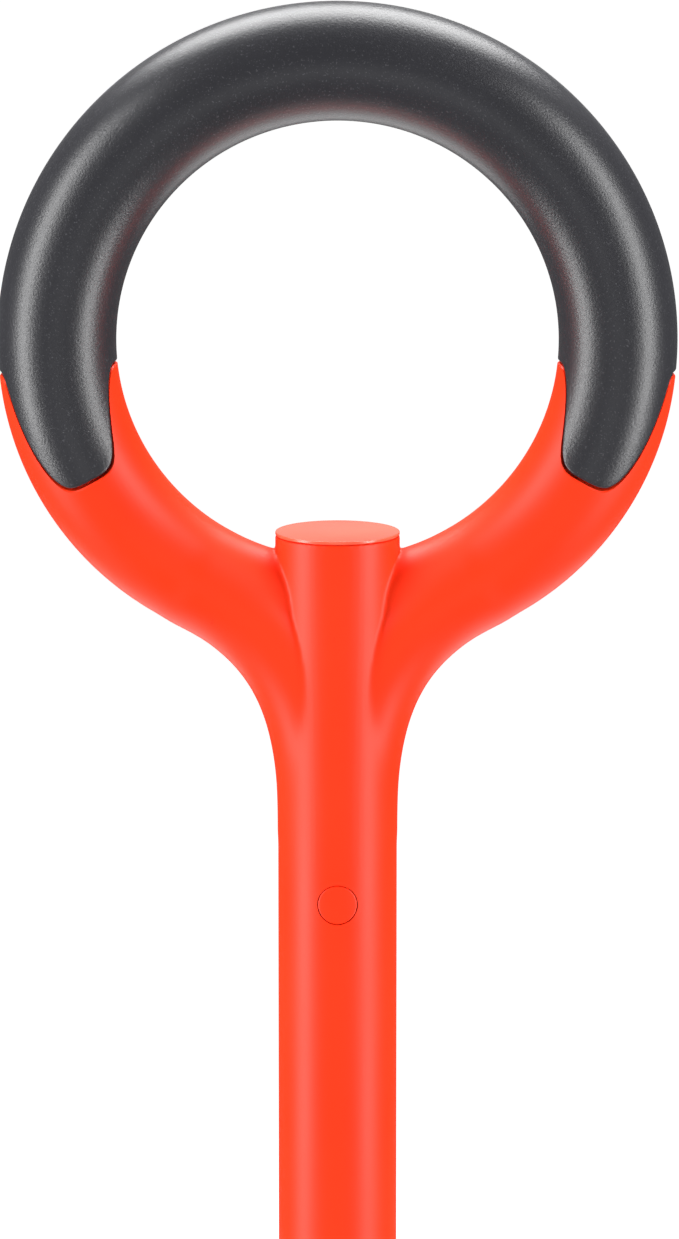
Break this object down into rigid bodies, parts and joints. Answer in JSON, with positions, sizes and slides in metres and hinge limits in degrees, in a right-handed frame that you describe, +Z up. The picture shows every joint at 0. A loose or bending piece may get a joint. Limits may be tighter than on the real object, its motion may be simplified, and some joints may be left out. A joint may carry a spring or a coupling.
{
  "type": "stirrup hoe",
  "caption": "Long-handled weeding hoe with a ring hand grip, a straight jacketed shaft and a bent neck whose open stirrup blade swings on a pivot.",
  "frame": {"origin": "crown of the ring's opening, where the tool hangs on a peg", "axes": "+Z up the shaft towards the ring, ring in the XZ plane, -Y is the front, the side the blade is bent towards"},
  "size_m": [0.19, 0.1426, 1.32],
  "materials": {
    "moulding": "red-orange moulded nylon, satin",
    "cap": "red-orange, smoother than the moulding",
    "soft_grip": "charcoal soft-touch elastomer, matt and faintly speckled",
    "shaft_tube": "drawn steel tube",
    "black_steel": "charcoal powder coat",
    "blade": "charcoal powder coat with bright ground edges",
    "zinc": "zinc plated",
    "bronze": "sintered bronze",
    "nylon": "natural nylon"
  },
  "bodies": {
    "shaft": {"handle_frame": "moulding", "ring_grip": "soft_grip", "hub_cap": "cap", "handle_bolt": "zinc", "handle_nut": "zinc", "bolt_plug_front": "moulding", "bolt_plug_back": "moulding", "shaft_core": "shaft_tube", "shaft_jacket": "moulding", "ferrule": "black_steel", "ferrule_pin_upper": "zinc", "ferrule_pin_lower": "zinc", "tang_plug": "nylon", "neck": "black_steel", "wear_washer_left": "nylon", "wear_washer_right": "nylon", "stop_bolt": "zinc", "stop_nut": "zinc"},
    "stirrup": {"stirrup": "blade", "pivot_bush": "bronze", "pivot_bolt": "zinc", "pivot_nut": "zinc", "pivot_washer_left": "zinc", "pivot_washer_right": "zinc"}
  },
  "joints": [
    {"name": "stirrup_swing", "type": "hinge", "parent": "shaft", "child": "stirrup", "pos_m": [0, -0.06032, -1.18248], "axis": [-1, 0, 0], "range_deg": [0, 24]}
  ]
}
